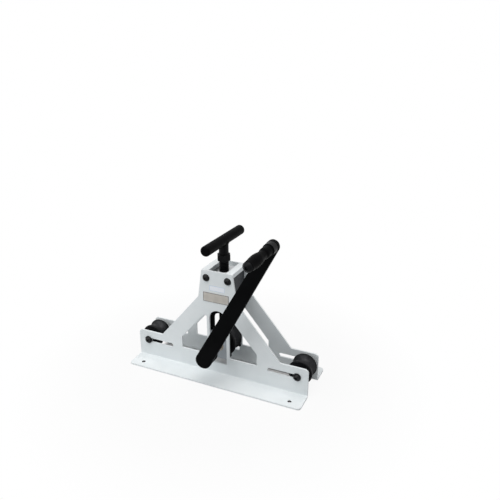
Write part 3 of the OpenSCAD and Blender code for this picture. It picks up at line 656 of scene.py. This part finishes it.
def tower_fasteners():
    """The tower's bolts, with their washers and nuts at the back."""
    low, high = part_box("tower_bolts")
    nuts_low, nuts_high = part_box("tower_nuts")
    head_r = (high.z - low.z) / 2
    washer_r = (nuts_high.z - nuts_low.z) / 2
    nut_start = PLATE_FACE + TOWER_WASHER
    bolts, nuts = bmesh.new(), bmesh.new()
    for side in (-1, 1):
        at = spindle(Vector((side * (high.x - head_r), 0, middle("tower_bolts").z)), Y, Z)
        add_bolt(bolts, at, head_r, low.y, -PLATE_FACE, high.y)
        add_washer(nuts, at, washer_r, BOLT_R + SEAT_GAP, PLATE_FACE, nut_start - SEAT_GAP)
        add_nut(nuts, at, NUT_FLATS, BOLT_R + SEAT_GAP, nut_start, nuts_high.y)
    stand_in(bolts, "tower_bolts")
    stand_in(nuts, "tower_nuts")


def bolt_and_nut(bolt, nut, start, seat):
    """A bolt along Y whose head seats at the given Y, and its nut, with a flat of each towards start."""
    low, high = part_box(bolt)
    centre = middle(bolt)
    at = spindle(Vector((centre.x, 0, centre.z)), Y, start)
    work = bmesh.new()
    add_bolt(work, at, (high.z - low.z) / 2, low.y, seat, high.y)
    stand_in(work, bolt)
    work = bmesh.new()
    add_nut(work, at, NUT_FLATS, BOLT_R + SEAT_GAP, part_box(nut)[0].y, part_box(nut)[1].y)
    stand_in(work, nut)


def set_screw():
    """The hub's set screw, with a hexagon socket."""
    hub = middle("crank_hub")
    reach = [ACROSS.dot(v.co - hub) for v in frame["nodes"]["hub_set_screw"].data.vertices]
    start, end = min(reach), max(reach)
    low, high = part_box("hub_set_screw")
    radius = (high.y - low.y) / 2
    at = spindle(hub, ACROSS, Y)
    socket = hexagon(SET_SCREW_SOCKET)
    rings = [(radius - COUNTERSINK, start), (radius, start + COUNTERSINK), (radius, end - COUNTERSINK),
             (radius - COUNTERSINK, end), (socket, end), (socket, end - SET_SCREW_SOCKET / 2)]
    work = bmesh.new()
    loops = [ring(work, at, r, along) for r, along in rings]
    skin(work, loops)
    cap(work, loops)
    stand_in(work, "hub_set_screw")


def handle_underside(point):
    """How high the handle bar's surface lies over a point of the screw's wall."""
    away = HANDLE_SIDE.dot(point)
    return HANDLE.z - math.sqrt(HANDLE_R ** 2 - away ** 2)


def pressing_screw():
    """The screw: a plain neck, a trapezoidal thread up to the stop nut, and a shank that meets the bar."""
    low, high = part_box("lead_screw")
    radius = (high.x - low.x) / 2
    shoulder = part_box("thrust_washer")[1].z + RUN_GAP
    nut_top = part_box("screw_stop_nut")[1].z
    at = spindle(ORIGIN, Z, X)

    def underside(angle):
        return handle_underside(at(angle, radius, 0))

    work = bmesh.new()
    foot = [ring(work, at, NECK_R - BOLT_CHAMFER, low.z), ring(work, at, NECK_R, low.z + BOLT_CHAMFER),
            ring(work, at, NECK_R, shoulder), ring(work, at, radius - SCREW_DEPTH, shoulder)]
    first, last = thread(work, at, SCREW_TURN, SCREW_PITCH, SCREW_DEPTH, radius,
                         shoulder + SHOULDER_CHAMFER, nut_top - SHOULDER_CHAMFER)
    top = ring(work, at, radius, lambda angle: underside(angle) + SHANK_SINK)
    skin(work, foot + [first])
    skin(work, [last, top])
    cap(work, [foot[0], top])
    stand_in(work, "lead_screw")
    path = [at(angle, radius, underside(angle)) for angle in ANGLES]
    weld_bead("handle_weld", "screw", "black_paint", [path], HANDLE_BEAD_R, True)


def stop_nut():
    """The chamfered nut on the screw."""
    low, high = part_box("screw_stop_nut")
    bore = (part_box("lead_screw")[1].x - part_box("lead_screw")[0].x) / 2 + SEAT_GAP
    work = bmesh.new()
    add_nut(work, spindle(ORIGIN, Z, Y), high.y - low.y, bore, low.z, high.z)
    stand_in(work, "screw_stop_nut")


def add_bead(work, path, radius, closed):
    """A tube along a path of points, swelling with each ripple of the weld."""
    count = len(path)
    turns = [2 * math.pi * k / BEAD_SIDES for k in range(BEAD_SIDES)]
    loops, run = [], 0.0
    for i, point in enumerate(path):
        after = path[(i + 1) % count] if closed or i + 1 < count else point
        before = path[i - 1] if closed or i else point
        run += (point - before).length if i else 0.0
        tangent = (after - before).normalized()
        side = tangent.orthogonal().normalized()
        other = tangent.cross(side)
        swell = radius * (1 + BEAD_RIPPLE_SHARE * math.sin(2 * math.pi * run / BEAD_RIPPLE))
        around = [point + (side * math.cos(t) + other * math.sin(t)) * swell for t in turns]
        loops.append([work.verts.new(place) for place in around])
    skin(work, loops, closed)
    if not closed:
        cap(work, loops)


def weld_bead(name, body, slot, paths, radius, closed):
    """Painted weld beads along some paths, as one piece."""
    work = bmesh.new()
    for path in paths:
        add_bead(work, path, radius, closed)
    return piece_from(work, name, body, slot, MATERIALS[slot])


def hub_weld():
    """The bead round the hub, where it meets the arm."""
    low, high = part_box("crank_hub")
    centre = middle("crank_hub")
    at = spindle(Vector((centre.x, low.y, centre.z)), Y, ARM)
    path = [at(angle, (high.x - low.x) / 2, 0) for angle in ANGLES]
    weld_bead("hub_weld", "drive", "black_paint", [path], HUB_BEAD_R, True)


def bar_welds():
    """The upright beads where the spacer bars meet the side plates."""
    paths = []
    for bar, inner in (("left_spacer_bar", 1), ("right_spacer_bar", 0)):
        low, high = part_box(bar)
        x = (low, high)[inner].x
        foot, top = low.z + BAR_BEAD_R, high.z - BAR_BEAD_R
        count = round((top - foot) / BEAD_RIPPLE * BEAD_RIPPLE_STEPS)
        for y in (low.y, high.y):
            paths.append([Vector((x, y, foot + (top - foot) * i / count)) for i in range(count + 1)])
    weld_bead("bar_welds", "frame", "white_paint", paths, BAR_BEAD_R, False)


def panel_loop(work, x, z, inset, corner, y):
    """A rounded rectangle of points, in from the panel's limits."""
    points = []
    corners = ((x[1], z[1], -1, -1), (x[0], z[1], 1, -1), (x[0], z[0], 1, 1), (x[1], z[0], -1, 1))
    for quarter, (cx, cz, dx, dz) in enumerate(corners):
        centre = Vector((cx + dx * (inset + corner), y, cz + dz * (inset + corner)))
        for step in range(CORNER_STEPS + 1):
            angle = math.pi / 2 * (quarter + step / CORNER_STEPS)
            points.append(work.verts.new(centre + (X * math.cos(angle) + Z * math.sin(angle)) * corner))
    return points


def panel(name, slot, sheet, x, z, thick, sink, corner, border):
    """A bare panel on the tower's front face: an edge strip round a plain field."""
    front = -PLATE_FACE - thick
    ease = thick * PANEL_EASE
    work = bmesh.new()
    loops = [panel_loop(work, x, z, 0.0, corner, -PLATE_FACE),
             panel_loop(work, x, z, 0.0, corner, front + ease),
             panel_loop(work, x, z, ease, corner - ease, front),
             panel_loop(work, x, z, border, corner / 2, front),
             panel_loop(work, x, z, border + sink, corner / 2, front + sink)]
    strip = skin(work, loops)
    cap(work, loops)
    for part in strip:
        part.material_index = 1
    return piece_from(work, name, "frame", slot, MATERIALS[sheet + "_field"], MATERIALS[sheet + "_edge"])


def rivets():
    """Four small rivets in the plate's corners."""
    face = -PLATE_FACE - PLATE["thick"] + PLATE["sink"]
    work = bmesh.new()
    for x in (PLATE["x"][0] + RIVET_INSET, PLATE["x"][1] - RIVET_INSET):
        for z in (PLATE["z"][0] + RIVET_INSET, PLATE["z"][1] - RIVET_INSET):
            at = spindle(Vector((x, face, z)), -Y, Z)
            loops = [ring(work, at, RIVET_R, 0.0)]
            for step in range(1, CORNER_STEPS):
                bend = math.pi / 2 * step / CORNER_STEPS
                loops.append(ring(work, at, RIVET_R * math.cos(bend), RIVET_RISE * math.sin(bend)))
            skin(work, loops)
            cap(work, loops)
    piece_from(work, "plate_rivets", "frame", "bright_steel", MATERIALS["bright_steel"])


def make_camera():
    """The camera, where the photograph was taken from."""
    data = bpy.data.cameras.new("camera")
    data.lens = CAMERA_LENS_MM
    data.sensor_width = SENSOR_MM
    camera = bpy.data.objects.new("camera", data)
    camera.location = CAMERA_PLACE
    camera.rotation_euler = (CAMERA_PITCH, 0.0, CAMERA_YAW)
    bpy.context.scene.collection.objects.link(camera)
    bpy.context.scene.camera = camera


def seen_ray(tree):
    """1 for rays that show the background: from the camera, off gloss or through glass."""
    path = add(tree, "ShaderNodeLightPath")
    gloss = combine(tree, "MAXIMUM", path.outputs["Is Camera Ray"], path.outputs["Is Glossy Ray"])
    return combine(tree, "MAXIMUM", gloss, path.outputs["Is Transmission Ray"])


def mix_shaders(tree, share, plain, white, output):
    """Shows the plain shader, and the white one for the given share."""
    both = add(tree, "ShaderNodeMixShader")
    tree.links.new(share, both.inputs[0])
    tree.links.new(plain.outputs[0], both.inputs[1])
    tree.links.new(white.outputs[0], both.inputs[2])
    tree.links.new(both.outputs[0], tree.nodes[output].inputs["Surface"])


def make_world():
    """White behind everything that shows it, and a soft even fill on the object."""
    world = bpy.data.worlds.new("studio")
    bpy.context.scene.world = world
    world.use_nodes = True
    tree = world.node_tree
    fill = tree.nodes["Background"]
    fill.inputs["Color"].default_value = FILL_COLOUR
    fill.inputs["Strength"].default_value = FILL
    white = add(tree, "ShaderNodeBackground", {"Color": WHITE, "Strength": WHITE_STRENGTH})
    mix_shaders(tree, seen_ray(tree), fill, white, "World Output")


def make_floor():
    """A plain pale floor that shows white far off and keeps the object's shadow near it."""
    signs = ((-1, -1), (1, -1), (1, 1), (-1, 1))
    corners = [(x * FLOOR_HALF, y * FLOOR_HALF, -FLOOR_DROP) for x, y in signs]
    mesh = bpy.data.meshes.new("floor")
    mesh.from_pydata(corners, [], [(0, 1, 2, 3)])
    floor = bpy.data.objects.new("floor", mesh)
    bpy.context.scene.collection.objects.link(floor)
    made, tree, shader, coords = new_material("floor")
    shader.inputs["Base Color"].default_value = (FLOOR_TONE, FLOOR_TONE, FLOOR_TONE, 1.0)
    shader.inputs["Roughness"].default_value = FLOOR_ROUGHNESS
    shader.inputs["Specular IOR Level"].default_value = 0.0
    white = add(tree, "ShaderNodeEmission", {"Color": WHITE, "Strength": WHITE_STRENGTH})
    parts = add(tree, "ShaderNodeSeparateXYZ", {0: coords})
    reach_x = combine(tree, "ABSOLUTE", parts.outputs["X"])
    reach_y = combine(tree, "ABSOLUTE", parts.outputs["Y"])
    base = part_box("rear_side_plate")[1]
    past_x = spread(tree, reach_x, (base.x - FLOOR_UNDER_EDGE, base.x), UNIT)
    past_y = spread(tree, reach_y, (base.y - FLOOR_UNDER_EDGE, base.y), UNIT)
    outside = combine(tree, "MAXIMUM", past_x, past_y)
    open_end = spread(tree, reach_x, [share * base.x for share in FLOOR_OPEN], UNIT)
    between = spread(tree, reach_y, (PLATE_FACE, PLATE_FACE + FLOOR_UNDER_EDGE), (1.0, 0.0))
    near = combine(tree, "MAXIMUM", outside, combine(tree, "MULTIPLY", open_end, between))
    distance = add(tree, "ShaderNodeVectorMath", {0: coords}, operation="LENGTH").outputs["Value"]
    away = spread(tree, distance, FLOOR_FAR, (FLOOR_WHITE, 1.0))
    share = combine(tree, "MULTIPLY", combine(tree, "MULTIPLY", away, near), seen_ray(tree))
    mix_shaders(tree, share, shader, white, "Material Output")
    mesh.materials.append(made)


def make_lamp(name, place, size, power, colour):
    """A square soft box that faces the object."""
    data = bpy.data.lights.new(name, "AREA")
    data.shape = "SQUARE"
    data.size = size
    data.energy = power
    data.color = colour
    lamp = bpy.data.objects.new(name, data)
    lamp.location = place
    lamp.rotation_euler = (LAMP_AIM - Vector(place)).to_track_quat("-Z", "Y").to_euler()
    bpy.context.scene.collection.objects.link(lamp)


# The pieces with more detail than their nodes and those made only here, then all other nodes
tower_fasteners()
for side in ("left", "right"):
    bolt_and_nut(side + "_axle_bolt", side + "_axle_nut", Z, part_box(side + "_axle_washers")[0].y)
bolt_and_nut("grip_bolt", "grip_nut", ARM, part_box("crank_grip")[0].y - RUN_GAP)
set_screw()
pressing_screw()
stop_nut()
hub_weld()
bar_welds()
panel("label_plate", "bright_steel", "plate", **PLATE)
panel("blank_sticker", "white_paint", "sticker", **STICKER)
rivets()
for name, shape in sorted(frame["nodes"].items()):
    if not shape.hide_render:
        finished(name)

make_camera()
make_world()
make_floor()
for name, settings in LAMPS.items():
    make_lamp(name, **settings)
bpy.context.scene.view_settings.view_transform = "Standard"
